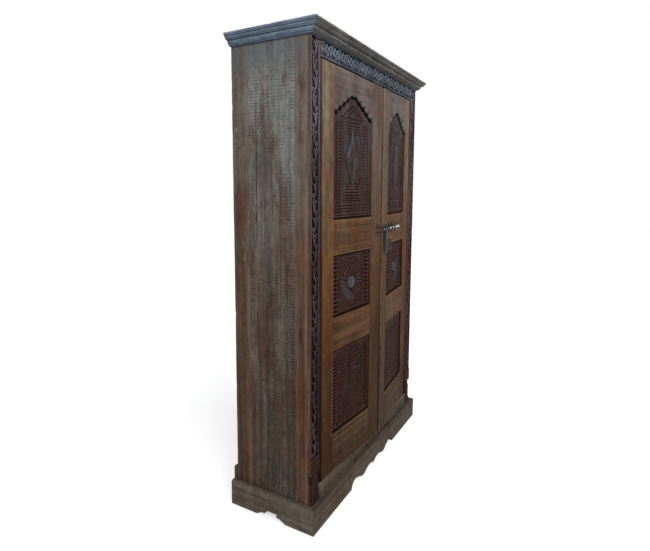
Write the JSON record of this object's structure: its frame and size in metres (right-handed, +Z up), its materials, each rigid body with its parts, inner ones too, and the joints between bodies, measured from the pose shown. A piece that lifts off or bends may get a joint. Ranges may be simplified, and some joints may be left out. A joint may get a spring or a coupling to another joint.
{
  "type": "carved cabinet",
  "caption": "Tall free-standing wooden cabinet with carved frieze and pilasters, framed doors with carved panels, a slide bolt with hasp, inside shelves and a scalloped plinth.",
  "frame": {"origin": "bottom centre of the box that holds the cabinet as it stands, doors ajar", "axes": "+Z up, front with the doors towards -Y, +X to the right as seen from the front"},
  "size_m": [1.238, 0.4688, 1.98],
  "materials": {
    "case_wood": "old waxed hardwood, worn",
    "carved_wood": "dark carved hardwood with grey highlights",
    "side_wood": "rough-sawn boards with a thin grey-brown wash",
    "inner_wood": "plain planed boards",
    "cornice_wood": "dark grey-stained moulding",
    "plinth_wood": "dark grey-brown stained boards",
    "door_wood": "old brown hardwood, waxed and worn",
    "panel_wood": "reddish dark brown carved panels",
    "dark_iron": "forged iron, dark, a little rust",
    "worn_steel": "iron rubbed bright by use"
  },
  "bodies": {
    "cabinet": {"left_front_post": "case_wood", "right_front_post": "case_wood", "left_back_post": "case_wood", "right_back_post": "case_wood", "threshold_rail": "case_wood", "left_pilaster": "carved_wood", "right_pilaster": "carved_wood", "frieze_board": "carved_wood", "left_side_board_front": "side_wood", "left_side_board_middle": "side_wood", "left_side_board_back": "side_wood", "right_side_board_front": "side_wood", "right_side_board_middle": "side_wood", "right_side_board_back": "side_wood", "left_side_rails": "inner_wood", "right_side_rails": "inner_wood", "back_rails": "inner_wood", "door_head_rail": "inner_wood", "floor_boards": "inner_wood", "lower_shelf": "inner_wood", "middle_shelf": "inner_wood", "upper_shelf": "inner_wood", "shelf_cleats": "inner_wood", "top_boards": "inner_wood", "back_board_1": "inner_wood", "back_board_2": "inner_wood", "back_board_3": "inner_wood", "back_board_4": "inner_wood", "left_cornice": "cornice_wood", "right_cornice": "cornice_wood", "front_cornice": "cornice_wood", "front_plinth": "plinth_wood", "left_plinth": "plinth_wood", "right_plinth": "plinth_wood", "back_plinth": "plinth_wood"},
    "left_door": {"left_door_hinge_stile": "door_wood", "left_door_meeting_stile": "door_wood", "left_door_bottom_rail": "door_wood", "left_door_lower_middle_rail": "door_wood", "left_door_upper_middle_rail": "door_wood", "left_door_top_rail": "door_wood", "left_door_bottom_panel": "panel_wood", "left_door_middle_panel": "panel_wood", "left_door_top_panel": "panel_wood", "bolt_keeper": "dark_iron"},
    "right_door": {"right_door_hinge_stile": "door_wood", "right_door_meeting_stile": "door_wood", "right_door_bottom_rail": "door_wood", "right_door_lower_middle_rail": "door_wood", "right_door_upper_middle_rail": "door_wood", "right_door_top_rail": "door_wood", "right_door_bottom_panel": "panel_wood", "right_door_middle_panel": "panel_wood", "right_door_top_panel": "panel_wood", "bolt_guides": "dark_iron", "ring_eye": "dark_iron"},
    "bolt": {"bolt_rod": "worn_steel"},
    "hasp": {"hasp": "dark_iron"},
    "ring": {"pull_ring": "worn_steel"}
  },
  "joints": [
    {"name": "left_door_hinge", "type": "hinge", "parent": "cabinet", "child": "left_door", "pos_m": [-0.4895, -0.13988, 1.017], "axis": [0, 0, -1], "range_deg": [-5.7, 89.3]},
    {"name": "right_door_hinge", "type": "hinge", "parent": "cabinet", "child": "right_door", "pos_m": [0.4895, -0.13988, 1.017], "axis": [0, 0, 1], "range_deg": [-5.7, 89.3]},
    {"name": "bolt_slide", "type": "slide", "parent": "right_door", "child": "bolt", "axis": [-0.9951, -0.0993, 0], "range_m": [0, 0.055]},
    {"name": "hasp_swing", "type": "hinge", "parent": "right_door", "child": "hasp", "pos_m": [0.0455, -0.21233, 1.18696], "axis": [-0.9951, -0.0993, 0], "range_deg": [-3, 150]},
    {"name": "ring_swing", "type": "hinge", "parent": "right_door", "child": "ring", "pos_m": [0.106, -0.20428, 1.12236], "axis": [-0.9951, -0.0993, 0], "range_deg": [-5, 90]}
  ]
}
